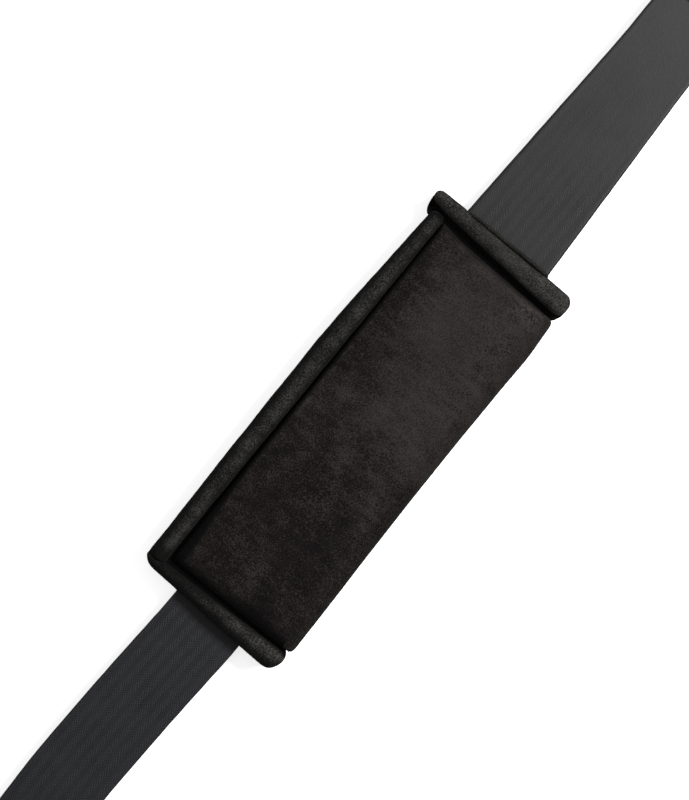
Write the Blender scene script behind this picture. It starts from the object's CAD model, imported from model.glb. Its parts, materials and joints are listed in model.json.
import json
import math

import bmesh
import bpy
import numpy as np
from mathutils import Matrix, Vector, noise


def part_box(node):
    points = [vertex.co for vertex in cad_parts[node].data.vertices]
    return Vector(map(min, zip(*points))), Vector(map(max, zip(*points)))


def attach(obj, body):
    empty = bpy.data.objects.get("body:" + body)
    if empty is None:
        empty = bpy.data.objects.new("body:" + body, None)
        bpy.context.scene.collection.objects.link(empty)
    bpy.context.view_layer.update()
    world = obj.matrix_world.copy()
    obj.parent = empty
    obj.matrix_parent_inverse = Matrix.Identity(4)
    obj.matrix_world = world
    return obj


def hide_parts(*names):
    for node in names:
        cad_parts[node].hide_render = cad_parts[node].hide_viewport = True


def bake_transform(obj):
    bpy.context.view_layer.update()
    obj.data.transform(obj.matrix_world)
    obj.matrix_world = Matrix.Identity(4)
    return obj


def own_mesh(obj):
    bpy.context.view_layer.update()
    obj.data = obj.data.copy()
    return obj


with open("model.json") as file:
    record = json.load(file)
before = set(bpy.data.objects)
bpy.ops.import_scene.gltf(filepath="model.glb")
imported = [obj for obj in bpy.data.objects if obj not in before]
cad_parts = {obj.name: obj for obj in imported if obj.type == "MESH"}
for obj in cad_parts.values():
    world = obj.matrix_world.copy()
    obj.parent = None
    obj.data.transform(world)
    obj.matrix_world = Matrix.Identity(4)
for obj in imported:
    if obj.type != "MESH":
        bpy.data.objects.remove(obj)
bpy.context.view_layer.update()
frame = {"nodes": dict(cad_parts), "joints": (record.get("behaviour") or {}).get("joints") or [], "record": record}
NODES = frame["nodes"]
JOINTS = {j["name"]: j for j in frame["joints"]}
MM = 0.001

# ---- Camera and light -----------------------------------------------------------------

STRAP_ANGLE = math.radians(51)  # the strap's slant in the view, above level
VIEW_SPAN = 384.5 * MM          # what the view's long side covers on the floor
VIEW_DISTANCE = 1.15
SENSOR = 36.0
# The view's middle, along and across the strap from the middle of the sleeve
VIEW_ALONG = 7.5 * MM
VIEW_ACROSS = 13.5 * MM


def make_camera():
    data = bpy.data.cameras.new("camera")
    data.sensor_width = SENSOR
    data.lens = SENSOR * VIEW_DISTANCE / VIEW_SPAN
    data.clip_start = 0.01
    data.clip_end = 20
    cam = bpy.data.objects.new("camera", data)
    cam.location = (VIEW_ALONG, VIEW_ACROSS, VIEW_DISTANCE)
    cam.rotation_euler = (0, 0, -STRAP_ANGLE)
    bpy.context.scene.collection.objects.link(cam)
    bpy.context.scene.camera = cam


def view_direction(right, up, toward):
    """A point given in the view's own right, up and toward-the-camera lengths."""
    c, s = math.cos(STRAP_ANGLE), math.sin(STRAP_ANGLE)
    return Vector((right * c + up * s, -right * s + up * c, toward))


def area_light(name, place, size, power, colour=(1, 1, 1)):
    data = bpy.data.lights.new(name, "AREA")
    data.shape = "RECTANGLE"
    data.size, data.size_y = size
    data.energy = power
    data.color = colour
    lamp = bpy.data.objects.new(name, data)
    lamp.location = place
    lamp.rotation_mode = "QUATERNION"
    lamp.rotation_quaternion = (-place).to_track_quat("-Z", "Y")
    bpy.context.scene.collection.objects.link(lamp)


AMBIENT = 0.20
FLOOR_SIZE = 60.0
FLOOR_GLOW = 0.70  # the floor shines a little, so that shadows on it stay faint


def make_lights():
    area_light("key", view_direction(1.1, 0.34, 1.25), (0.5, 0.5), 30)
    area_light("top", view_direction(0.1, 0.1, 1.6), (1.2, 1.2), 3.2)
    area_light("fill", view_direction(-1.2, 0.9, 0.45), (0.8, 0.8), 4)
    world = bpy.data.worlds.new("studio")
    world.use_nodes = True
    back = world.node_tree.nodes["Background"]
    back.inputs["Color"].default_value = (1, 1, 1, 1)
    back.inputs["Strength"].default_value = AMBIENT
    bpy.context.scene.world = world


def make_floor():
    bpy.ops.mesh.primitive_plane_add(size=FLOOR_SIZE, location=(0, 0, -0.2 * MM))
    floor = bpy.context.object
    floor.name = "floor"
    n = Nodes("floor_white")
    n.surface("Base Color", (0.93, 0.93, 0.93))
    n.surface("Roughness", 0.9)
    n.surface("Emission Color", (1.0, 1.0, 1.0))
    n.surface("Emission Strength", FLOOR_GLOW)
    floor.data.materials.append(n.material)
    # The dark plush keeps its dark sides: the floor throws no light back at the strap
    floor.visible_diffuse = False
    floor.visible_glossy = False


# ---- Material helpers -----------------------------------------------------------------


class Nodes:
    """Makes a material, and its nodes from short calls."""

    def __init__(self, name):
        self.material = bpy.data.materials.new(name)
        self.material.use_nodes = True
        self.tree = self.material.node_tree
        self.shader = self.tree.nodes["Principled BSDF"]
        self.place = self.node("TexCoord").outputs["Object"]

    def feed(self, socket, value):
        """Gives a socket a number, a colour or vector, or another node's output."""
        if isinstance(value, (int, float)):
            socket.default_value = value
        elif isinstance(value, tuple):
            socket.default_value = (*value, 1)[:len(socket.default_value)]
        elif value is not None:
            self.tree.links.new(value, socket)

    def surface(self, name, value):
        self.feed(self.shader.inputs[name], value)

    def node(self, kind, *inputs, **settings):
        """A new node. inputs are pairs of a socket's name or number and what feeds it."""
        node = self.tree.nodes.new(f"ShaderNode{kind}")
        for key, value in settings.items():
            setattr(node, key, value)
        for key, value in inputs:
            self.feed(node.inputs[key], value)
        return node

    def scaled(self, scale, turn=0.0):
        """Object coordinates, turned about Z and scaled along each axis."""
        inputs = (("Scale", scale), ("Rotation", (0, 0, turn)), ("Vector", self.place))
        return self.node("Mapping", *inputs).outputs["Vector"]

    def noise(self, scale, detail=2.0, rough=0.5, vector=None, distortion=0.0):
        inputs = [("Scale", scale), ("Detail", detail), ("Roughness", rough)]
        inputs += [("Distortion", distortion), ("Vector", self.place if vector is None else vector)]
        return self.node("TexNoise", *inputs).outputs["Fac"]

    def cells(self, scale, vector=None):
        inputs = (("Scale", scale), ("Vector", self.place if vector is None else vector))
        return self.node("TexVoronoi", *inputs).outputs["Distance"]

    def twist(self, scale, turn=0.0, distortion=0.0):
        """Slanting bands, as on a twisted thread."""
        inputs = [("Scale", scale), ("Distortion", distortion), ("Detail", 0.0)]
        inputs += [("Vector", self.scaled((1, 1, 1), turn))]
        return self.node("TexWave", *inputs, bands_direction="DIAGONAL").outputs["Fac"]

    def attribute(self, name, output):
        """A value that the mesh stores at each of its points."""
        return self.node("Attribute", attribute_name=name).outputs[output]

    def in_mm(self, vector):
        """The first two parts of a vector in metres, in millimetres."""
        parts = self.node("SeparateXYZ", (0, vector)).outputs
        return [self.times(parts[axis], 1000) for axis in "XY"]

    def math(self, kind, a, b=None, clamp=False):
        return self.node("Math", (0, a), (1, b), operation=kind, use_clamp=clamp).outputs[0]

    def plus(self, a, b, clamp=False):
        return self.math("ADD", a, b, clamp)

    def minus(self, a, b):
        return self.math("SUBTRACT", a, b)

    def times(self, a, b, clamp=False):
        return self.math("MULTIPLY", a, b, clamp)

    def sine(self, value, pitch):
        """A wave from 0 to 1 along a value."""
        wave = self.math("SINE", self.times(value, 2 * math.pi / pitch))
        return self.plus(self.times(wave, 0.5), 0.5)

    def blend_of(self, *parts):
        """The sum of several values, each by its share."""
        total = None
        for value, share in parts:
            part = self.times(value, share)
            total = part if total is None else self.plus(total, part)
        return total

    def ramp(self, fac, stops):
        node = self.node("ValToRGB", ("Fac", fac))
        ramp = node.color_ramp
        while len(ramp.elements) < len(stops):
            ramp.elements.new(0.5)
        for element, (at, colour) in zip(ramp.elements, stops):
            element.position = at
            element.color = (*colour, 1)
        return node.outputs["Color"]

    def colour(self, fac, start, first, stop, last):
        """Base colour from first to last, as fac goes from start to stop."""
        self.surface("Base Color", self.ramp(fac, [(start, first), (stop, last)]))

    def roughness(self, fac, low, high, start=0.3):
        self.surface("Roughness", self.ramp(fac, [(start, (low,) * 3), (0.7, (high,) * 3)]))

    def mix(self, fac, a, b, kind="MIX"):
        inputs = ((0, fac), (6, a), (7, b))
        return self.node("Mix", *inputs, data_type="RGBA", blend_type=kind).outputs[2]

    def darken(self, colour, value):
        """The colour times a value from 0 to 1."""
        grey = self.node("CombineColor", (0, value), (1, value), (2, value)).outputs["Color"]
        return self.mix(1.0, colour, grey, "MULTIPLY")

    def bump(self, height, strength, distance, normal=None):
        inputs = [("Strength", strength), ("Distance", distance), ("Height", height)]
        return self.node("Bump", *inputs, ("Normal", normal)).outputs["Normal"]


# ---- Materials ------------------------------------------------------------------------


def plush_material(name, dark, mid, light, brushed_share):
    """Short velour nap: brushed blotches, fine tufts and a soft sheen. brushed_share is how
    much lighter the nap lies towards the head and the closed edge."""
    n = Nodes(name)
    blotch = n.noise(60, 3, 0.6, distortion=0.4)
    stroke = n.noise(1, 2, 0.55, n.scaled((260, 100, 160), math.radians(35)))
    tuft = n.noise(1300, 3, 0.6)
    strand = n.noise(1, 3, 0.65, n.scaled((2300, 1200, 2100), math.radians(40)))
    mottle = n.blend_of((blotch, 0.13), (stroke, 0.13), (tuft, 0.29), (strand, 0.45))
    # The nap is brushed smooth and light over the middle, towards the head and the closed
    # edge, and stands up darker and rougher elsewhere
    x, y = n.in_mm(n.place)
    wide = n.times(n.minus(n.noise(30, 4, 0.65), 0.5), BRUSHED_RAGGED)
    along = n.plus(n.times(n.plus(x, BRUSHED_FROM), 1 / BRUSHED_RUN), wide, clamp=True)
    across = n.plus(n.times(n.minus(BRUSHED_TO, y), 1 / BRUSHED_FADE), wide, clamp=True)
    sweep = n.times(along, across)
    # It lies smoothest over the middle, away from the closed edge
    inward = n.times(n.plus(y, CALM_FROM), 1 / CALM_FADE, clamp=True)
    contrast = n.minus(ROUGH_CONTRAST, n.times(n.times(sweep, inward), CALM_SHARE))
    grain = n.times(n.minus(mottle, 0.5), contrast)
    lifted = n.times(n.minus(sweep, 0.5), brushed_share)
    patchy = n.times(n.minus(n.noise(75, 3, 0.6), 0.5), PATCHY_SHARE)
    patchy = n.times(patchy, n.minus(1.0, sweep))
    mottle = n.plus(n.plus(grain, lifted), n.plus(patchy, 0.50))
    worn = n.ramp(mottle, [(0.38, dark), (0.50, mid), (0.64, light)])
    shade = n.minus(1.0, n.times(n.attribute("crease", "Fac"), CREASE_DARK))
    n.surface("Base Color", n.darken(worn, shade))
    n.roughness(blotch, 0.80, 0.97)
    tufts = n.bump(tuft, 0.50, 0.0006, n.bump(stroke, 0.22, 0.0009))
    n.surface("Normal", n.bump(strand, 0.85, 0.0005, tufts))
    n.surface("Sheen Weight", 0.03)
    n.surface("Sheen Roughness", 0.45)
    n.surface("Sheen Tint", (1.0, 0.93, 0.88))
    n.surface("Specular IOR Level", 0.12)
    return n.material


# Where the nap is brushed light, in millimetres: from this far towards the foot of the
# sleeve's middle, up to this far towards the open edge, fading over this length
BRUSHED_FROM = 37
BRUSHED_TO = 29
BRUSHED_RUN = 52
BRUSHED_FADE = 34
CALM_FROM = 26          # and smoothest from this far towards the closed edge
CALM_FADE = 14
BRUSHED_RAGGED = 1.3    # how ragged the brushed patch's edges are
ROUGH_CONTRAST = 2.1    # contrast of the nap's grain where it stands up
CALM_SHARE = 0.95       # and how much of that is lost where it lies smoothest
PATCHY_SHARE = 0.24     # how much the nap that stands up varies from place to place
CREASE_DARK = 0.95      # how much the nap darkens down in a seam

# Weave of the band, in millimetres
HERRINGBONE = 2.6
RIB_PITCH = 1.15
WARP_PITCH = 0.65
WEFT_PITCH = 0.55
FADE_FROM = 100         # the band's look starts to change this far towards the foot
FADE_RUN = 330          # and goes on changing over this length


def webbing_material(name, foot, head):
    """Flat woven band: a fine herringbone rib between firmer, smoother edges. foot and head
    are the (dark, light) colours at the two ends of the band."""
    n = Nodes(name)
    # Run along the band and place across it
    run, across = n.in_mm(n.attribute("weave", "Vector"))
    # Herringbone: the rib's slant turns over at each stripe across the band
    stripe = n.math("PINGPONG", across, HERRINGBONE)
    rib = n.sine(n.plus(run, stripe), RIB_PITCH)
    warp = n.sine(across, WARP_PITCH)
    weft = n.sine(run, WEFT_PITCH)
    place = n.times(n.plus(run, FADE_FROM), 1 / FADE_RUN, clamp=True)
    # The rib shows less towards the head, where the band is smoother
    fine = n.minus(1.0, n.times(place, 0.95))
    weave = n.times(n.blend_of((rib, 0.5), (warp, 0.3), (weft, 0.2)), fine)
    wear = n.noise(34, 4, 0.6)
    fuzz = n.noise(1300, 2, 0.6)
    shade = n.blend_of((weave, 0.34), (wear, 0.44), (fuzz, 0.22))
    ends = [n.ramp(shade, [(0.30, dark), (0.70, light)]) for dark, light in (foot, head)]
    n.surface("Base Color", n.mix(n.math("POWER", place, 3.0), *ends))
    n.roughness(wear, 0.42, 0.60)
    n.surface("Normal", n.bump(fuzz, 0.3, 0.00020, n.bump(weave, 0.6, 0.00028)))
    n.surface("Sheen Weight", 0.06)
    n.surface("Sheen Roughness", 0.35)
    n.surface("Specular IOR Level", 0.30)
    return n.material


def lining_material(name, dark, light):
    """Knitted lining: small offset loops."""
    n = Nodes(name)
    cell = n.cells(620, n.scaled((1.0, 1.6, 1.0)))
    cloud = n.noise(60, 3)
    n.colour(n.blend_of((cell, 0.7), (cloud, 0.4)), 0.2, light, 0.75, dark)
    n.surface("Normal", n.bump(cell, 0.7, -0.0006))
    n.roughness(cloud, 0.7, 0.85)
    n.surface("Sheen Weight", 0.2)
    return n.material


def tape_material(name, pitch, depth, dark, light):
    """Hook or loop tape: a dense field of small tufts."""
    n = Nodes(name)
    fuzz = n.noise(1500, 2, 0.7)
    shade = n.blend_of((n.cells(1 / (pitch * MM)), 0.6), (fuzz, 0.4))
    n.colour(shade, 0.25, light, 0.75, dark)
    n.surface("Normal", n.bump(shade, 0.9, -depth * MM))
    n.roughness(fuzz, 0.55, 0.8)
    return n.material


def thread_material(name, dark, light):
    """Bonded thread: a tight twist with a dull shine."""
    n = Nodes(name)
    twist = n.twist(480, math.radians(30))
    n.colour(twist, 0.2, dark, 0.8, light)
    n.surface("Normal", n.bump(twist, 0.6, 0.0001))
    n.roughness(n.noise(300), 0.4, 0.6)
    return n.material


def metal_material(name, tint, rough_low, rough_high):
    """Plated die casting: faint clouds, fine scratches and worn high spots."""
    n = Nodes(name)
    cloud = n.noise(90, 4, 0.6)
    scratch = n.noise(1, 2, 0.7, n.scaled((260, 2600, 2600), math.radians(12)))
    worn = tuple(min(1.0, c * 1.35) for c in tint)
    n.colour(cloud, 0.35, tint, 0.75, worn)
    n.roughness(n.blend_of((cloud, 0.5), (scratch, 0.5)), rough_low, rough_high, 0.35)
    dents = n.noise(420, 2, 0.5)
    n.surface("Normal", n.bump(dents, 0.12, 0.0003, n.bump(scratch, 0.1, 0.0001)))
    n.surface("Metallic", 1.0)
    return n.material


def foam_material(name, dark, light):
    n = Nodes(name)
    pores = n.cells(900)
    cloud = n.noise(80, 3)
    n.colour(n.blend_of((pores, 0.6), (cloud, 0.4)), 0.2, dark, 0.7, light)
    n.surface("Normal", n.bump(pores, 0.8, 0.0005))
    n.roughness(cloud, 0.85, 1.0)
    return n.material


def cord_material(name, dark, light):
    n = Nodes(name)
    braid = n.twist(260, distortion=1.5)
    n.colour(braid, 0.2, dark, 0.8, light)
    n.surface("Normal", n.bump(braid, 0.7, 0.0004))
    n.roughness(n.noise(700), 0.8, 0.95)
    return n.material


MATERIALS = {}


def make_materials():
    """A material for each slot: its kind, then its colours and other values."""
    looks = {
        "plush_cover": (
            plush_material, (0.0030, 0.0023, 0.0022), (0.0165, 0.0132, 0.0123),
            (0.038, 0.0318, 0.0296), 0.14
        ),
        "plush_edge": (
            plush_material, (0.0040, 0.0038, 0.0035), (0.0185, 0.0178, 0.0164),
            (0.052, 0.0505, 0.047), 0.03
        ),
        "band": (
            webbing_material, ((0.0034, 0.0036, 0.0043), (0.0190, 0.0199, 0.0234)),
            ((0.0205, 0.0205, 0.0212), (0.051, 0.0510, 0.0528))
        ),
        "lining": (lining_material, (0.006, 0.006, 0.007), (0.03, 0.03, 0.033)),
        "hook_tape": (tape_material, 0.9, 0.5, (0.006, 0.006, 0.007), (0.05, 0.05, 0.055)),
        "loop_tape": (tape_material, 0.5, 0.35, (0.008, 0.008, 0.009), (0.04, 0.04, 0.044)),
        "thread": (thread_material, (0.006, 0.006, 0.007), (0.045, 0.045, 0.05)),
        "hardware": (metal_material, (0.20, 0.20, 0.215), 0.18, 0.38),
        "pin_steel": (metal_material, (0.45, 0.45, 0.46), 0.15, 0.32),
        "spring_steel": (metal_material, (0.38, 0.38, 0.39), 0.2, 0.36),
        "foam": (foam_material, (0.05, 0.05, 0.055), (0.16, 0.16, 0.17)),
        "filler_cord": (cord_material, (0.35, 0.34, 0.30), (0.7, 0.68, 0.62)),
    }
    for name, (kind, *values) in looks.items():
        MATERIALS[name] = kind(name, *values)


def paint_cad_nodes():
    for row in frame["record"]["subparts"]:
        obj = NODES[row["node"]]
        obj.data.materials.clear()
        obj.data.materials.append(MATERIALS[row["material_slot"]])


# ---- Mesh helpers ---------------------------------------------------------------------


def new_object(name, points, faces, slot, smooth=True, extra=()):
    mesh = bpy.data.meshes.new(name)
    mesh.from_pydata([tuple(p) for p in points], [], faces)
    mesh.validate()
    obj = bpy.data.objects.new(name, mesh)
    bpy.context.scene.collection.objects.link(obj)
    for key in (slot, *extra):
        mesh.materials.append(MATERIALS[key])
    mesh.polygons.foreach_set("use_smooth", [smooth] * len(mesh.polygons))
    return obj


def apply_modifiers(obj):
    graph = bpy.context.evaluated_depsgraph_get()
    mesh = bpy.data.meshes.new_from_object(obj.evaluated_get(graph))
    obj.modifiers.clear()
    obj.data = mesh
    return obj


def subdivide(obj, levels=1):
    mod = obj.modifiers.new("subdivision", "SUBSURF")
    mod.levels = levels
    mod.render_levels = levels
    return apply_modifiers(obj)


def ring_faces(rings, sides, base=0, caps=True):
    """Quads between successive closed rings of points, and a face over each end."""
    faces = []
    for i in range(rings - 1):
        for k in range(sides):
            n = (k + 1) % sides
            a, b = base + i * sides, base + (i + 1) * sides
            faces.append((a + k, a + n, b + n, b + k))
    if caps:
        last = base + (rings - 1) * sides
        faces.append(tuple(base + k for k in range(sides - 1, -1, -1)))
        faces.append(tuple(last + k for k in range(sides)))
    return faces


def get_points(obj, kind="co"):
    flat = np.empty(len(obj.data.vertices) * 3)
    obj.data.vertices.foreach_get(kind, flat)
    return flat.reshape(-1, 3)


def set_points(obj, points):
    obj.data.vertices.foreach_set("co", np.asarray(points, float).ravel())
    obj.data.update()


def smooth_step(t):
    t = np.clip(t, 0.0, 1.0)
    return t * t * (3 - 2 * t)


def wobble(x, y, z, size, seed=0.0):
    """Smooth noise from -1 to 1, of the given size in metres."""
    return noise.noise(Vector((x / size + seed, y / size - seed, z / size + 2 * seed)))


def edge_round(distance, radius):
    """Height share of a quarter-round edge, 0 at the edge and 1 from radius inwards."""
    t = np.clip(distance / radius, 0.0, 1.0)
    return np.sqrt(np.maximum(0.0, 1 - (1 - t) ** 2))


def spread(low, high, count, power=0.6):
    """Positions from low to high that stand closer together near both ends."""
    t = np.linspace(-1, 1, count)
    s = np.sign(t) * (1 - (1 - np.abs(t)) ** (1 / power))
    return low + (high - low) * (s + 1) / 2


NAP_SIZES = ((1.9 * MM, 0.8, 3.1), (1.1 * MM, 0.8, 7.7))


def nap_relief(obj, amount, skip=None):
    """Small unevenness of the nap, pushed along the surface."""
    points, normals = get_points(obj), get_points(obj, "normal")
    for i, (x, y, z) in enumerate(points):
        if skip is not None and skip(x, y, z):
            continue
        rise = sum(share * wobble(x, y, z, size, seed) for size, share, seed in NAP_SIZES)
        points[i] += normals[i] * rise * amount
    set_points(obj, points)


def keep_between(obj, low=None, high=None):
    points = get_points(obj)
    points[:, 2] = np.clip(points[:, 2], low, high)
    set_points(obj, points)


def turn_outwards(obj):
    mesh = bmesh.new()
    mesh.from_mesh(obj.data)
    bmesh.ops.recalc_face_normals(mesh, faces=mesh.faces)
    mesh.to_mesh(obj.data)
    mesh.free()


def store_crease(obj, values):
    """How much darker the nap lies at each point, up to 1; below 0 it lies lighter."""
    attribute = obj.data.attributes.new("crease", "FLOAT", "POINT")
    attribute.data.foreach_set("value", np.array(values, np.float32))


def plush_object(name, points, faces, slot, creases, nap):
    """A closed plush piece: smoothed, with its nap's relief."""
    obj = new_object(name, points, faces, slot)
    store_crease(obj, creases)
    turn_outwards(obj)
    subdivide(obj)
    nap_relief(obj, nap)
    return obj


def slab(xs, ys, level):
    """Points and faces of a closed slab over a grid. level(x, y, layer) is the height of its
    front, layer 0, and of its back, layer 1."""
    points = [(x, y, level(x, y, layer)) for layer in (0, 1) for x in xs for y in ys]
    faces = []
    cols = len(ys)
    count = len(xs) * cols
    for i in range(len(xs) - 1):
        for k in range(cols - 1):
            a, b = i * cols + k, (i + 1) * cols + k
            faces.append((a, a + 1, b + 1, b))
            faces.append((count + a, count + b, count + b + 1, count + a + 1))
    rim = [i * cols for i in range(len(xs))]
    rim += [(len(xs) - 1) * cols + k for k in range(1, cols)]
    rim += [i * cols + cols - 1 for i in range(len(xs) - 2, -1, -1)]
    rim += list(range(cols - 2, 0, -1))
    for a, b in zip(rim, rim[1:] + rim[:1]):
        faces.append((a, b, count + b, count + a))
    return points, faces


# ---- Padded panels --------------------------------------------------------------------

PANEL_STEPS_X = 132
PANEL_STEPS_Y = 50
END_ROUND = 3.6 * MM        # rounding of a panel where it meets an end roll, at the head
FOOT_ROUND = 6.0 * MM       # and at the foot
FOLD_ROUND = 7.5 * MM       # rounding along the closed edge
SEAM_ROUND_HEAD = 1.8 * MM  # rounding along the side seam, at the head end
SEAM_ROUND_FOOT = 4.2 * MM  # and at the foot end
SWELL_CAP = 1.2 * MM        # how far the simulated cover may move
SWELL_MARGIN = 9 * MM       # the simulation fades out this near to the panel's rim
SIM_SCALE = 10.0            # cloth is simulated at this many times its size
SIM_FRAMES = 20
CLOTH = {
    "vertex_group_mass": "held", "quality": 5, "mass": 0.4, "tension_stiffness": 15,
    "compression_stiffness": 15, "shear_stiffness": 8, "bending_stiffness": 2.0,
    "shrink_min": -0.012, "use_pressure": True, "uniform_pressure_force": 4,
}
SEAM_CHANGE = 0.3           # the share of the length over which the side seam tightens
# The closed edge's lie: (place along the sleeve, how far it draws in), in millimetres
FOLD_LINE = (
    (-104, -1.3), (-75, -0.9), (-45, -0.2), (-10, 0.4), (25, 0.5), (60, 0.25), (84, -0.4), (97, 1.1)
)
FOLD_EASE = 4               # the lie is averaged over points this far apart, in millimetres
HEAD_SLANT = 2.6 * MM       # how far the head seam slants back towards the closed edge
HEAD_DRAW = 1.0 * MM        # and how far it is drawn back all along
FOLD_SHADE = 0.42           # how much darker the nap lies as it turns over the closed edge
FOLD_SHADE_WIDTH = 9 * MM
HOLLOW_EDGE = 5.5 * MM      # how far the foot's darker nap reaches in
HOLLOW_DEEP = 16.0 * MM     # how much further it does in the hollow there
HOLLOW_Y = -17 * MM         # where that hollow lies across the sleeve
HOLLOW_WIDTH = 10 * MM
HEAD_CORNER_LIT = 0.45      # how much lighter the nap lies in the head's corner
PANEL_CROWN = 0.9 * MM
COVER_SKIN = 1.4 * MM       # how far the foam core lies inside the cover
NAP = 0.085 * MM


def toward_foot(share):
    """1 at the foot end of a panel, 0 from SEAM_CHANGE of its length onwards."""
    return float(smooth_step((SEAM_CHANGE - share) / SEAM_CHANGE))


def fold_line(x):
    """How far the closed edge draws in at x; below 0 where it bulges."""
    place, drawn = zip(*FOLD_LINE)
    around = [np.interp(x / MM + k * FOLD_EASE, place, drawn) for k in (-2, -1, 0, 1, 2)]
    return float(np.mean(around)) * MM


def head_slant(x, across):
    """How far the head seam is drawn back at a share of the way across, from the open edge."""
    back = HEAD_SLANT * across + HEAD_DRAW * float(smooth_step(across / 0.2))
    return back * float(smooth_step((x - 40 * MM) / (60 * MM)))


def panel_height(x, y, lo, hi, level, crown, inset):
    """Height over the panel's flat face at a point of its cover."""
    share = (x - lo.x) / (hi.x - lo.x)
    seam = SEAM_ROUND_HEAD + (SEAM_ROUND_FOOT - SEAM_ROUND_HEAD) * toward_foot(share)
    ends = edge_round(x - lo.x, FOOT_ROUND - inset) * edge_round(hi.x - x, END_ROUND - inset)
    fold = edge_round(y - lo.y, FOLD_ROUND - inset)
    side = edge_round(hi.y - y, max(seam - inset, 1 * MM))
    u = 2 * share - 1
    v = 2 * (y - lo.y) / (hi.y - lo.y) - 1
    bow = (1 - abs(u) ** 2.6) * (1 - abs(v) ** 2.4)
    return (level + crown * bow) * ends * fold * side


def panel_mesh(name, lo, hi, flat_z, out, level, crown, slot, inset=0.0):
    """A closed cushion: a crowned cover over a flat face that the band runs against. out is
    1 where the cover faces up and -1 where it faces down."""
    xs = spread(lo.x, hi.x, PANEL_STEPS_X)
    ys = spread(lo.y, hi.y, PANEL_STEPS_Y)
    cols = len(ys)
    points, faces, creases = [], [], []
    for x in xs:
        draw = fold_line(x)
        for y in ys:
            h = panel_height(x, y, lo, hi, level, crown, inset)
            across = (hi.y - y) / (hi.y - lo.y)
            drawn = y + draw * across ** 3
            points.append((x - head_slant(x, across), drawn, flat_z + out * h))
            creases.append(panel_crease(x, y, lo, hi))
    cover_points = len(points)
    inner = {}
    for i in range(len(xs)):
        for k in range(cols):
            if i in (0, len(xs) - 1) or k in (0, cols - 1):
                inner[i, k] = i * cols + k
            else:
                inner[i, k] = len(points)
                points.append((*points[i * cols + k][:2], flat_z))
                creases.append(0.0)
    for i in range(len(xs) - 1):
        for k in range(cols - 1):
            a, b = i * cols + k, (i + 1) * cols + k
            cover = (a, b, b + 1, a + 1)
            flat = (inner[i, k], inner[i, k + 1], inner[i + 1, k + 1], inner[i + 1, k])
            faces.append(cover if out > 0 else cover[::-1])
            faces.append(flat if out > 0 else flat[::-1])
    obj = new_object(name, points, faces, slot)
    store_crease(obj, creases)
    return obj, cover_points


def fold_shade(x, depth):
    """How much darker the nap lies at a depth in from the closed edge."""
    turned = float(smooth_step(1 - depth / FOLD_SHADE_WIDTH))
    return FOLD_SHADE * turned * float(smooth_step((x + 60 * MM) / (40 * MM)))


def panel_crease(x, y, lo, hi):
    """How much darker the nap of a panel's cover lies at a point: along its three sewn sides,
    in a hollow at the foot and over the closed edge. Below 0 it lies lighter, as it does in the
    head's corner beside the closed edge."""
    share = (x - lo.x) / (hi.x - lo.x)
    head = 1 - smooth_step((hi.x - x) / (2.6 * MM))
    hollow = HOLLOW_EDGE + HOLLOW_DEEP * math.exp(-(((y - HOLLOW_Y) / HOLLOW_WIDTH) ** 2))
    foot = 1 - smooth_step((x - lo.x) / hollow)
    sunk = (0.6 + 3.4 * toward_foot(share)) * MM
    side = 1 - smooth_step((hi.y - y - sunk) / (2.0 * MM))
    depth = max(head, 0.9 * foot, side, fold_shade(x, y - lo.y))
    lit = smooth_step((x - hi.x + 14 * MM) / (8 * MM)) * smooth_step((-16 * MM - y) / (12 * MM))
    return float(depth - HEAD_CORNER_LIT * lit * (1 - depth))


def swell(obj, cover_points, lo, hi):
    """Cloth simulation of the cover: blown up from inside and a little too large for its
    seams, it crowns and puckers. The flat face and the rim are held."""
    rest = get_points(obj)
    set_points(obj, rest * SIM_SCALE)
    flat_z = rest[cover_points:, 2].mean()
    low = np.abs(rest[:, 2] - flat_z) < 0.8 * MM
    low[cover_points:] = True
    held = obj.vertex_groups.new(name="held")
    held.add([int(i) for i in np.where(low)[0]], 1.0, "REPLACE")
    mod = obj.modifiers.new("cloth", "CLOTH")
    cloth = mod.settings
    for key, value in CLOTH.items():
        setattr(cloth, key, value)
    cloth.effector_weights.gravity = 0
    mod.collision_settings.use_collision = False
    scene = bpy.context.scene
    for step in range(1, SIM_FRAMES + 1):
        scene.frame_set(step)
    apply_modifiers(obj)
    scene.frame_set(1)
    obj.vertex_groups.clear()
    shift = get_points(obj) / SIM_SCALE - rest
    length = np.linalg.norm(shift, axis=1, keepdims=True)
    shift *= np.minimum(1.0, SWELL_CAP / np.maximum(length, 1e-9))
    x, y = rest[:, 0], rest[:, 1]
    rim = np.minimum.reduce([x - lo.x, hi.x - x, y - lo.y, hi.y - y])
    set_points(obj, rest + shift * smooth_step(rim / SWELL_MARGIN)[:, None])


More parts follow.
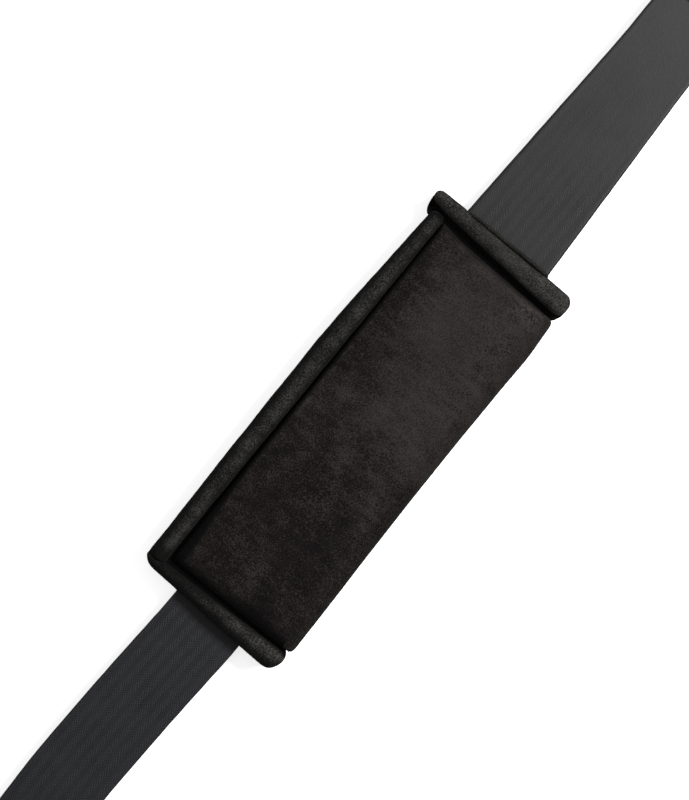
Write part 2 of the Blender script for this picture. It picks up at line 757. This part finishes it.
def make_panel(half, body, out):
    """The padded cover of one half, and the foam core inside it."""
    lo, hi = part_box(f"{half}_cover")
    lining_lo, lining_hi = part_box(f"{half}_lining")
    flat_z = lining_hi.z if out > 0 else lining_lo.z
    depth = (hi.z - flat_z) if out > 0 else (flat_z - lo.z)
    crown = PANEL_CROWN if out > 0 else 0.0
    level = depth - crown
    cover, count = panel_mesh(
        f"{half}_panel", lo, hi, flat_z, out, level, crown, "plush_cover"
    )
    swell(cover, count, lo, hi)
    if out < 0:
        keep_between(cover, lo.z, hi.z)
    subdivide(cover)
    nap_relief(cover, NAP, lambda x, y, z: abs(z - flat_z) < 0.3 * MM)
    if out < 0:
        keep_between(cover, lo.z, hi.z)
    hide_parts(f"{half}_cover")
    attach(cover, body)
    skin = Vector((COVER_SKIN, COVER_SKIN, 0))
    core, _ = panel_mesh(
        f"{half}_foam_core", lo + skin, hi - skin, flat_z + out * 0.1 * MM, out,
        level - COVER_SKIN, crown, "foam", COVER_SKIN
    )
    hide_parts(f"{half}_foam")
    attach(core, body)


# ---- Rolls ----------------------------------------------------------------------------

ROLL_OUTER = 22     # points of a roll's section round its outer side
ROLL_INNER = 12     # and down its inner side to the seam
ROLL_POWER = 0.97   # below 1 the section is fuller than an ellipse
SEAM_FLANGE = 1.3 * MM
FLANGE_LAP = 1.1 * MM   # how far a roll's seam allowance lies under the panel
ROLL_SIDE_DARK = 0.9    # how dark the nap lies down a roll's free side
ROLL_UNDER_DARK = 0.3   # and under it
OUTER_ANGLES = [math.pi * (i / (ROLL_OUTER - 1) - 0.5) for i in range(ROLL_OUTER)]
LIP_REACH = 25 * MM     # how far the mouth's hem runs to each side of the band's middle
FOOT_CORNER = 7.5 * MM      # rounding of the foot's corner beside the open edge
HEAD_NARROWING = 3.9 * MM   # how far the open edge draws in towards the head
FOOT_NARROWING = 1.1 * MM   # and towards the foot
SIDE_BOW = 0.5 * MM         # how far it bows out between them
SIDE_TUCK = 4.5 * MM        # how far the side roll runs into the foot roll
HEAD_TUCK = 2.2 * MM        # and into the head roll
TAPE_OVERLAP = 1.15 * MM    # how far two rolls bulge towards each other past tapes and band
TAPE_PAST = 28 * MM         # the end rolls do so from this far beside the band's middle


def roll_section(w_in, w_out, groove, low, high, out):
    """A roll's section as (across, height) points. w_in is its sewn side, against the panel,
    w_out its free side, and groove the width of the flat seam allowance between. out is 1
    where the roll's crest faces up and -1 where it faces down."""
    side = 1 if w_out > w_in else -1
    start = w_in + side * groove
    half_w = abs(w_out - start) / 2
    middle = (w_out + start) / 2
    half_h = (high - low) / 2
    level = (high + low) / 2
    flat = level - out * half_h

    def place(a, way):
        w = abs(math.cos(a)) ** ROLL_POWER * half_w
        h = math.copysign(abs(math.sin(a)) ** ROLL_POWER, math.sin(a)) * half_h
        return middle + way * w, level + out * h

    foot = math.asin(min(1.0, 1 - SEAM_FLANGE / half_h) ** (1 / ROLL_POWER))
    section = [place(a, side) for a in OUTER_ANGLES]
    for i in range(1, ROLL_INNER + 1):
        section.append(place(math.pi / 2 + (math.pi / 2 + foot) * i / ROLL_INNER, -side))
    edge = section[-1][1]
    section.append(((w_in + section[-1][0]) / 2, edge))
    section.append((w_in, edge))
    section.append((w_in, flat))
    section.append(((w_in + middle) / 2, flat))
    return section


def roll_crease(outer, inner, dusk):
    """How much darker the nap lies at each point of a roll's section. outer and inner are the
    places across the roll, 0 at its crest and 1 at its sides, between which it darkens; dusk is
    how dark it lies all over, and below 0 how much lighter."""
    values = []
    for a in OUTER_ANGLES:
        side = float(smooth_step((math.cos(a) - outer[0]) / (outer[1] - outer[0])))
        values.append(ROLL_SIDE_DARK * side if a > 0 else ROLL_UNDER_DARK)
    for i in range(1, ROLL_INNER + 1):
        place = math.sin(math.pi / 2 * min(1.0, 1.35 * i / ROLL_INNER))
        below = float(smooth_step((place - inner[0]) / (inner[1] - inner[0])))
        outer_side = float(smooth_step((-place - outer[0]) / (outer[1] - outer[0])))
        values.append(max(below, ROLL_SIDE_DARK * outer_side))
    return [dusk + (1 - dusk) * value for value in values] + [1.0, 1.0, 1.0, 1.0]


def shrink_section(section, share, share_h):
    """The section drawn in towards the middle of its round part, as at a roll's end."""
    w = (section[0][0], section[ROLL_OUTER - 1][0])
    h = (section[0][1] + section[ROLL_OUTER - 1][1]) / 2
    mid = sum(w) / 2
    return [(mid + (a - mid) * share, h + (b - h) * share_h) for a, b in section]


def make_roll(node, body, axis, start, stop, steps, shape):
    """A stuffed roll along x or y. shape(t, s) gives, at a share t of its length and the place
    s, its section, how far that is drawn in, and how dark the nap lies round it."""
    places = spread(start, stop, steps, 0.62)
    points, creases = [], []
    for s in places:
        section, share, crease = shape((s - start) / (stop - start), s)
        creases += crease
        section = shrink_section(section, share, 0.35 + 0.65 * share)
        centre = np.mean(section, axis=0)
        for w, h in section:
            puff = 0.22 * MM * wobble(s, w, h, 15 * MM, 1.7)
            puff += 0.14 * MM * wobble(s, w, h, 5 * MM, 4.2)
            d = np.array((w, h)) - centre
            w, h = np.array((w, h)) + d / max(np.linalg.norm(d), 1e-6) * puff
            points.append((s, w, h) if axis == "x" else (w, s, h))
    faces = ring_faces(steps, len(section))
    obj = plush_object(f"{node}_plush", points, faces, "plush_edge", creases, NAP * 0.8)
    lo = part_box(node)[0]
    keep_between(obj, min(lo.z, 8.9 * MM) if body == "flap" else lo.z, None)
    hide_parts(node)
    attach(obj, body)


def make_end_roll(half, where, body, out):
    node = f"{half}_{where}_roll"
    head = where == "head"
    side = 1 if head else -1
    lo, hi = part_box(node)
    stop = hi.y if head else hi.y - FOOT_NARROWING

    def shape(t, s):
        loose = 0.25 * MM * wobble(s, 0, side, 30 * MM, 5.5)
        if head:
            w_in = lo.x - FLANGE_LAP - HEAD_SLANT * (1 - t)
            w_in -= HEAD_DRAW * float(smooth_step((1 - t) / 0.2))
            w_out = hi.x - 1.2 * MM - 1.8 * MM * (1 - t) ** 2
            w_out -= 1.0 * MM * float(smooth_step((LIP_REACH - abs(s)) / (5 * MM)))
            groove = FLANGE_LAP + (2.3 + 3.4 * t) * MM
            sunk = 0.0
            crease = roll_crease((0.85, 1.1), (0.88, 1.05), -0.12)
        else:
            w_in = hi.x + FLANGE_LAP
            w_out = lo.x + 0.3 * MM + 3.6 * MM * t ** 1.4
            w_out += FOOT_CORNER * 0.8 * (1 - float(edge_round(hi.y - s, FOOT_CORNER)))
            w_out += FOOT_CORNER * 0.7 * (1 - float(edge_round(s - lo.y, FOOT_CORNER)))
            groove = FLANGE_LAP + (1.2 + 2.8 * t) * MM
            sunk = 1.3 * MM * float(smooth_step((t - 0.45) / 0.25))
            dusk = 1.1 * float(smooth_step((t - 0.2) / 0.65)) - 0.3
            crease = roll_crease((-0.3, 0.5), (0.6, 0.95), dusk)
        # Past the band, the rolls of the two halves bulge towards each other
        closed = TAPE_OVERLAP * float(smooth_step((s - TAPE_PAST) / (4 * MM)))
        low = lo.z + (sunk if out < 0 else -closed)
        high = hi.z + (closed if out < 0 else -sunk)
        share = edge_round(s - lo.y, 4.8 * MM) * edge_round(stop - s, 3.6 * MM)
        section = roll_section(w_in, w_out + loose, groove, low, high, out)
        return section, 0.18 + 0.82 * float(share), crease

    make_roll(node, body, "y", lo.y, stop, 96, shape)


def make_side_roll(half, body, out):
    node = f"{half}_side_roll"
    lo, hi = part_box(node)
    tape_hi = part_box("loop_tape")[1]
    start, stop = lo.x - SIDE_TUCK, hi.x + HEAD_TUCK

    def shape(t, s):
        w_in = lo.y - FLANGE_LAP
        drawn = HEAD_NARROWING * max(0.0, (t - 0.6) / 0.4) ** 1.2 + FOOT_NARROWING * (1 - t)
        bow = SIDE_BOW * math.sin(math.pi * t)
        w_out = hi.y - 0.1 * MM - drawn + bow
        groove = FLANGE_LAP + (1.5 - 0.9 * float(smooth_step(t * 1.1))) * MM
        high = hi.z - (0.9 * MM * t if out > 0 else 0)
        low = lo.z + (0.9 * MM * t if out < 0 else 0)
        section = roll_section(w_in, w_out, groove, low, high, out)
        level = (low + high) / 2
        bulged = []
        for w, h in section:
            past = smooth_step((w - tape_hi.y - 0.2 * MM) / (1.0 * MM))
            toward = max(0.0, (level - h) * out) / ((high - low) / 2)
            bulged.append((w, h - out * TAPE_OVERLAP * past * toward))
        share = edge_round(s - start, 2.0 * MM) * edge_round(stop - s, 2.5 * MM)
        foot_end = 0.85 * float(smooth_step((lo.x + 6 * MM - s) / (6 * MM)))
        head_end = 1.05 * float(smooth_step((s - hi.x + 0.8 * MM) / (1.6 * MM)))
        near_foot = toward_foot(t)
        outer = (-0.1 - 0.25 * near_foot, 0.8 - 0.25 * near_foot)
        crease = roll_crease(outer, (0.35, 1.0), max(foot_end, head_end))
        return bulged, 0.35 + 0.65 * float(share), crease

    make_roll(node, body, "x", start, stop, 150, shape)


def make_lip(half, body, out):
    """The turned hem of the sleeve's mouth, along the head roll where the band leaves it."""
    lo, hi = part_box(f"{half}_head_roll")
    level = (lo.z + hi.z) / 2
    points = []
    places = spread(-LIP_REACH, LIP_REACH, 60, 0.7)
    sides = 12
    for s in places:
        share = float(edge_round(LIP_REACH - abs(s), 9 * MM))
        for k in range(sides):
            a = 2 * math.pi * k / sides
            x = hi.x - 1.6 * MM - 0.6 * MM * (1 - share)
            x += 1.3 * MM * math.cos(a) * (0.4 + 0.6 * share)
            z = level - out * 0.4 * MM + (1.6 * MM + 1.3 * MM * share) * math.sin(a)
            x += 0.12 * MM * wobble(s, z, 0, 6 * MM, 9.1)
            points.append((x, s, z))
    faces, creases = ring_faces(len(places), sides), [0.35] * len(points)
    obj = plush_object(f"{half}_mouth_hem", points, faces, "plush_edge", creases, NAP * 0.5)
    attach(obj, body)


FILLER_R = 2.2 * MM
FILLER_STRANDS = 3
FILLER_LAY = 14 * MM


def make_fillers(half, body):
    """The cords that fill the two end rolls and the side roll of a half."""
    runs = []
    for where, side in (("head", 1), ("foot", -1)):
        lo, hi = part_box(f"{half}_{where}_roll")
        mid = (lo + hi) / 2
        x = mid.x + side * 1.1 * MM
        runs.append(((x, lo.y + 8 * MM, mid.z), (x, hi.y - 11 * MM, mid.z)))
    lo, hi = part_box(f"{half}_side_roll")
    mid = (lo + hi) / 2
    ends = (lo.x + 4 * MM, mid.y + 0.3 * MM, mid.z), (hi.x - 4 * MM, mid.y - 1.8 * MM, mid.z)
    runs.append(ends)
    points, faces, sides = [], [], 18
    up = Vector((0, 0, 1))
    for a, b in runs:
        a, b = Vector(a), Vector(b)
        steps = max(8, int((b - a).length / (2 * MM)))
        along = (b - a).normalized()
        across = along.cross(up)
        base = len(points)
        for i in range(steps):
            centre = a.lerp(b, i / (steps - 1))
            twist = 2 * math.pi * (b - a).length * i / (steps - 1) / FILLER_LAY
            for k in range(sides):
                angle = 2 * math.pi * k / sides
                r = FILLER_R * (0.9 + 0.1 * math.cos(FILLER_STRANDS * (angle - twist)))
                r *= 0.8 if i in (0, steps - 1) else 1.0
                points.append(centre + (across * math.cos(angle) + up * math.sin(angle)) * r)
        faces += ring_faces(steps, sides, base)
    obj = new_object(f"{half}_filler_cords", points, faces, "filler_cord")
    turn_outwards(obj)
    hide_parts(f"{half}_fillers")
    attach(obj, body)


# ---- Fold along the closed edge -------------------------------------------------------

FOLD_SPAN = math.radians(66)
FOLD_SKIN = 1.1 * MM


def make_fold():
    lo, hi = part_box("fold_strip")
    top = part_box("front_cover")[1].z - PANEL_CROWN
    mid = (lo.z + hi.z) / 2
    half_y = FOLD_ROUND + (hi.y - lo.y) + 0.2 * MM
    centre_y = lo.y + half_y
    half_z = top - mid + 0.1 * MM
    points, creases = [], []
    places = np.linspace(lo.x, hi.x, 160)
    arc_steps = 34
    for x in places:
        near = abs(2 * (x - lo.x) / (hi.x - lo.x) - 1)
        draw = fold_line(x) + 0.18 * MM * wobble(x, 0, 0, 22 * MM, 6.3) ** 2
        slant = head_slant(x, 1.0)
        tuck = 1.2 * MM * (1 - edge_round((1 - near) * (hi.x - lo.x) / 2, 3.5 * MM))
        section = []
        for skin, order in ((0.0, 1), (FOLD_SKIN, -1)):
            for i in range(arc_steps)[::order]:
                f = 2 * i / (arc_steps - 1) - 1
                a = FOLD_SPAN * f
                sunk = skin + tuck + 0.35 * MM * smooth_step((abs(f) - 0.75) / 0.25)
                y = centre_y - (half_y - sunk) * math.cos(a)
                z = mid + (half_z - sunk) * math.sin(a)
                section.append((x - slant, y + draw, max(z, 0.15 * MM)))
                creases.append(fold_shade(x, y - lo.y))
        points += section
    faces = ring_faces(len(places), 2 * arc_steps)
    obj = plush_object("fold_plush", points, faces, "plush_cover", creases, NAP)
    keep_between(obj, 0.0, None)
    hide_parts("fold_strip")
    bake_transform(obj)


# ---- Linings and closure tapes --------------------------------------------------------


LINING_HEM = 1.2 * MM


def make_lining(half, body, out):
    node = f"{half}_lining"
    lo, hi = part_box(node)
    face_z = lo.z if out > 0 else hi.z

    def level(x, y, layer):
        if layer == 1:
            return face_z + out * (hi.z - lo.z - 0.05 * MM)
        rim = min(x - lo.x, hi.x - x, y - lo.y, hi.y - y)
        fall = (1 - edge_round(rim, LINING_HEM)) * 0.3 * MM
        pucker = (0.5 + 0.5 * wobble(x, y, 0, 9 * MM, 2.2)) * 0.22 * MM
        pucker += (0.5 + 0.5 * wobble(x, y * 0.3, 0, 3 * MM, 8.4)) * 0.1 * MM
        return face_z + out * (fall + pucker)

    points, faces = slab(spread(lo.x, hi.x, 130, 0.8), spread(lo.y, hi.y, 50, 0.8), level)
    obj = new_object(f"{half}_lining_knit", points, faces, "lining")
    turn_outwards(obj)
    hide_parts(node)
    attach(obj, body)


STITCH_SIDES = 7
STITCH_RINGS = 6


def stitch_mesh(points, faces, centre, along, up, length, radius):
    """Adds one stitch: a short thread that rises from the cloth and dips back into it."""
    along = along.normalized()
    side = along.cross(up).normalized()
    base = len(points)
    for i in range(STITCH_RINGS):
        f = 2 * i / (STITCH_RINGS - 1) - 1
        rise = math.cos(f * math.pi / 2) * radius * 0.9 - radius * 0.5
        r = radius * (0.55 + 0.45 * math.cos(f * math.pi / 2))
        for k in range(STITCH_SIDES):
            a = 2 * math.pi * k / STITCH_SIDES
            ring = side * math.cos(a) * r + up * (math.sin(a) * r + rise)
            points.append(centre + along * (f * length / 2) + ring)
    faces += ring_faces(STITCH_RINGS, STITCH_SIDES, base)


TAPE_BASE = 0.45 * MM
HOOK_PITCH = 1.45 * MM
HOOK_R = 0.13 * MM
# A hook's bend: (sideways, outwards), as shares of its height
HOOK_SPINE = ((0, 0), (0.05, 0.45), (0.18, 0.85), (0.42, 1.0), (0.62, 0.82))
TAPE_STITCH = 2.3 * MM
TAPE_STITCH_PITCH = 3.1 * MM
THREAD_R = 0.17 * MM


def tape_stitches(points, faces, lo, hi, z, up):
    x = lo.x + TAPE_STITCH_PITCH
    while x < hi.x - TAPE_STITCH_PITCH:
        for y in (lo.y + 1.0 * MM, hi.y - 1.0 * MM):
            place = Vector((x, y, z))
            stitch_mesh(points, faces, place, Vector((1, 0, 0)), up, TAPE_STITCH, THREAD_R)
        x += TAPE_STITCH_PITCH


def tape_base(lo, hi, z_back, z_face, cell, relief, seed):
    """A closed slab whose face is a fine uneven pile between two flat selvedges."""

    def level(x, y, layer):
        if layer == 1:
            return z_back
        selvedge = min(y - lo.y, hi.y - y) < 1.6 * MM
        rough = 0.5 + 0.5 * wobble(x, y, 0, cell * 1.7, seed)
        dip = relief if selvedge else relief * 0.8 * rough
        return z_face + math.copysign(min(dip, abs(z_face - z_back) * 0.8), z_back - z_face)

    xs = np.arange(lo.x, hi.x + cell / 2, cell)
    ys = np.linspace(lo.y, hi.y, max(3, int((hi.y - lo.y) / cell)))
    return slab(xs, ys, level)


def finish_tape(name, node, body, slot, points, faces, thread_from):
    obj = new_object(name, points, faces, slot, extra=("thread",))
    index = np.zeros(len(obj.data.polygons), np.int32)
    index[thread_from:] = 1
    obj.data.polygons.foreach_set("material_index", index)
    turn_outwards(obj)
    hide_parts(node)
    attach(obj, body)


def make_hook_tape():
    lo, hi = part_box("hook_tape")
    z_back, z_face = hi.z, hi.z - TAPE_BASE
    points, faces = tape_base(lo, hi, z_back, z_face, 1.5 * MM, 0.05 * MM, 3.3)
    tip = lo.z + 0.05 * MM
    columns = int((hi.x - lo.x - 2 * MM) / HOOK_PITCH)
    rows = int((hi.y - lo.y - 3.6 * MM) / HOOK_PITCH) + 1
    sides = 5
    rise = z_face - tip
    for i in range(columns):
        for k in range(rows):
            x = lo.x + 1.2 * MM + (i + 0.5 * (k % 2)) * HOOK_PITCH
            y = lo.y + 1.8 * MM + k * HOOK_PITCH
            lean = 1 if (i + k) % 2 else -1
            base = len(points)
            for u, v in HOOK_SPINE:
                centre = Vector((x + lean * u * rise, y, z_face - v * rise + 0.05 * MM))
                for s in range(sides):
                    a = 2 * math.pi * s / sides
                    points.append(centre + Vector((math.cos(a), math.sin(a), 0)) * HOOK_R)
            faces += ring_faces(len(HOOK_SPINE), sides, base)
    thread_from = len(faces)
    tape_stitches(points, faces, lo, hi, z_face, Vector((0, 0, -1)))
    finish_tape("hook_tape_strip", "hook_tape", "flap", "hook_tape", points, faces, thread_from)


def make_loop_tape():
    lo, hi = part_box("loop_tape")
    points, faces = tape_base(lo, hi, lo.z, hi.z - 0.05 * MM, 0.5 * MM, 0.65 * MM, 5.9)
    thread_from = len(faces)
    tape_stitches(points, faces, lo, hi, hi.z - 0.7 * MM, Vector((0, 0, 1)))
    finish_tape("loop_tape_strip", "loop_tape", "sleeve", "loop_tape", points, faces, thread_from)


# ---- Band -----------------------------------------------------------------------------

BAND_ACROSS = 26
BAND_STEP = 2.0 * MM
LAP_GAP = 0.05 * MM     # between two layers of band that are sewn together
# The band's lie where it leaves the sleeve at the foot: (place, sideways), in millimetres
FOOT_SWAY = ((-285, 0.0), (-250, 1.7), (-215, 2.6), (-165, 1.0), (-115, -1.6), (-60, 0.0))
SWAY_EASE = 6       # the lie is averaged over points this far apart, in millimetres


def sway(x):
    """How far the band's middle lies to the side at x."""
    place, side = zip(*FOOT_SWAY)
    around = [np.interp(x / MM + k * SWAY_EASE, place, side) for k in (-2, -1, 0, 1, 2)]
    return float(np.mean(around)) * MM


def outline(node):
    """The places along X of a flat solid's points, and the half width at each."""
    points = get_points(NODES[node])
    found = {}
    for x, y, _ in points:
        key = round(x, 5)
        found[key] = max(found.get(key, 0.0), y)
    places = sorted(found)
    return places, [found[p] for p in places]


def resample(path, step):
    """Even points along an XZ path, with the path's own first and last points."""
    path = [np.array(p, float) for p in path]
    lengths = [0.0]
    for a, b in zip(path, path[1:]):
        lengths.append(lengths[-1] + np.linalg.norm(b - a))
    count = max(2, int(math.ceil(lengths[-1] / step)) + 1)
    runs = np.linspace(0, lengths[-1], count)
    xs = np.interp(runs, lengths, [p[0] for p in path])
    zs = np.interp(runs, lengths, [p[1] for p in path])
    return np.column_stack((xs, zs)), runs


def arc_path(centre, r, a0, a1, steps):
    angles = np.radians(np.linspace(a0, a1, steps + 1))
    return [(centre[0] + r * math.cos(a), centre[1] + r * math.sin(a)) for a in angles]


def band_section(half_w, t):
    """A flat band's section with full round selvedges and a slightly raised edge cord."""
    upper = []
    for k in range(BAND_ACROSS):
        f = 2 * k / (BAND_ACROSS - 1) - 1
        f = math.copysign(1 - (1 - abs(f)) ** 1.5, f) if abs(f) < 1 else f
        y = f * half_w
        rim = half_w - abs(y)
        body = 0.92 + 0.08 * math.exp(-(((rim - 1.3 * MM) / (0.7 * MM)) ** 2))
        h = t / 2 * body * float(edge_round(rim, 0.8 * MM))
        upper.append((y, max(h, 0.03 * MM)))
    return upper + [(y, -h) for y, h in reversed(upper)]


def make_band(name, path, half_width, run0, t, body=None, step=BAND_STEP, swayed=False):
    """A length of band along an XZ path. run0 is the length of band before its start, so that
    the weave carries on from the piece before it."""
    spine, runs = resample(path, step)
    tangents = np.gradient(spine, axis=0)
    tangents /= np.linalg.norm(tangents, axis=1, keepdims=True)
    points, weave = [], []
    for (x, z), (tx, tz), run in zip(spine, tangents, runs):
        half_w = half_width(x)
        side = sway(x) if swayed else 0.0
        edge = 0.10 * MM * wobble(run0 + run, 0, 0, 7 * MM, 1.1)
        for y, h in band_section(half_w - 0.06 * MM + edge, t):
            points.append((x - tz * h, y + side, z + tx * h))
            weave.append((run0 + run, y, math.copysign(1.0, h)))
    obj = new_object(name, points, ring_faces(len(spine), 2 * BAND_ACROSS), "band")
    attribute = obj.data.attributes.new("weave", "FLOAT_VECTOR", "POINT")
    attribute.data.foreach_set("vector", np.array(weave, np.float32).ravel())
    turn_outwards(obj)
    if body is not None:
        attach(obj, body)
    return obj


def islands(node):
    """The separate solids of a node, as arrays of points."""
    mesh = bmesh.new()
    mesh.from_mesh(NODES[node].data)
    bmesh.ops.remove_doubles(mesh, verts=mesh.verts, dist=1e-6)
    seen, found = set(), []
    for vert in mesh.verts:
        if vert.index in seen:
            continue
        stack, group = [vert], []
        seen.add(vert.index)
        while stack:
            v = stack.pop()
            group.append(tuple(v.co))
            for e in v.link_edges:
                o = e.other_vert(v)
                if o.index not in seen:
                    seen.add(o.index)
                    stack.append(o)
        found.append(np.array(group))
    mesh.free()
    return found


def make_stitching(node, body, band_top):
    """Thread in place of each stitch of a node. band_top is a level between its two faces."""
    points, faces = [], []
    for group in islands(node):
        centre = Vector(group.mean(0))
        spread_out = group - group.mean(0)
        _, _, axes = np.linalg.svd(spread_out)
        reach = np.abs(spread_out @ axes[0]).max()
        up = Vector((0, 0, 1 if centre.z > band_top else -1))
        base = centre - up * 0.12 * MM + Vector((0, sway(centre.x), 0))
        along = Vector((axes[0][0], axes[0][1], 0))
        stitch_mesh(points, faces, base, along, up, 2 * reach * 1.1, 0.26 * MM)
    obj = new_object(f"{node}_thread", points, faces, "thread")
    turn_outwards(obj)
    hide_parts(node)
    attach(obj, body)


def make_bands():
    end_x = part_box("webbing")[1].x
    top_lo, top_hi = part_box("top_run")
    t = top_hi.z - top_lo.z
    top = (top_lo.z + top_hi.z) / 2
    places, halves = outline("webbing")

    def shaped(x):
        return float(np.interp(x, places, halves))

    def even(x):
        return (top_hi.y - top_lo.y) / 2

    # Main length: sewn end, turn round the eye's bar, and the long run through the sleeve
    eye_x, _, eye_z = JOINTS["eye_pivot"]["pos_m"]
    r = top - eye_z
    lap_z = top - t - LAP_GAP
    lap_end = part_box("fold_stitching")[1].x + 2.6 * MM
    back = [(lap_end, lap_z), (eye_x + 12 * MM, lap_z), (eye_x + 2 * MM, eye_z - r)]
    back += arc_path((eye_x, eye_z), r, 270, 90, 16)
    start = eye_x - sum(math.dist(a, b) for a, b in zip(back, back[1:]))
    path = back + [(end_x, top)]
    main = make_band("band_main", path, shaped, start, t, "strap", 1.6 * MM, swayed=True)
    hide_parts("webbing")
    # Run on to the D ring, which stretches as the end of the band is let out
    loop_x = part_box("ring_loop")[0].x
    run = make_band("band_top_run", [(end_x, top), (loop_x, top)], even, end_x, t)
    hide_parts("top_run")
    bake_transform(run)
    ring_x, _, ring_z = JOINTS["ring_pivot"]["pos_m"]
    ring_r = top - ring_z
    low = ring_z - ring_r
    arc = arc_path((ring_x, ring_z), ring_r, 90, -90, 18)
    loop = [(loop_x, top)] + arc + [(loop_x, low)]
    turn_piece = make_band("band_ring_loop", loop, even, loop_x, t, "ring_end", 0.6 * MM)
    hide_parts("ring_loop")
    # Return run to the adjuster
    wrap_lo, wrap_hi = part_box("tail_wrap")
    wrap_low = wrap_lo.z + t / 2
    tail = [(loop_x, low), (wrap_hi.x + 18 * MM, low), (wrap_hi.x, wrap_low)]
    tail_from = loop_x + math.pi * ring_r
    tail_piece = make_band("band_tail_run", tail, even, tail_from, t, "ring_end")
    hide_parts("tail_run")
    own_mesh(tail_piece)
    # Turn round the adjuster's centre bar
    wrap_r = (wrap_hi.z - t / 2 - wrap_low) / 2
    bar_x, bar_z = wrap_lo.x + t / 2 + wrap_r, wrap_low + wrap_r
    lap_z = wrap_low + t + LAP_GAP
    wrap = [(wrap_hi.x, wrap_low), (bar_x + 1 * MM, wrap_low)]
    wrap += arc_path((bar_x, bar_z), wrap_r, -90, -270, 16)
    wrap += [(bar_x + 1.5 * MM, bar_z + wrap_r - 0.3 * MM)]
    wrap += [(bar_x + 6 * MM, lap_z), (wrap_hi.x, lap_z)]
    before = tail_from + loop_x - wrap_hi.x
    wrap_piece = make_band("band_tail_wrap", wrap, even, before, t, "slider", 0.6 * MM)
    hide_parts("tail_wrap")
    make_stitching("fold_stitching", "strap", top)
    make_stitching("tail_stitching", "slider", top)


# ---- Build ----------------------------------------------------------------------------

bpy.context.scene.view_settings.view_transform = "Standard"
make_camera()
make_materials()
make_lights()
make_floor()
paint_cad_nodes()
for half, body, out in (("front", "flap", 1), ("back", "sleeve", -1)):
    make_panel(half, body, out)
    make_end_roll(half, "head", body, out)
    make_end_roll(half, "foot", body, out)
    make_side_roll(half, body, out)
    make_lip(half, body, out)
    make_fillers(half, body)
    make_lining(half, body, out)
make_fold()
make_hook_tape()
make_loop_tape()
make_bands()
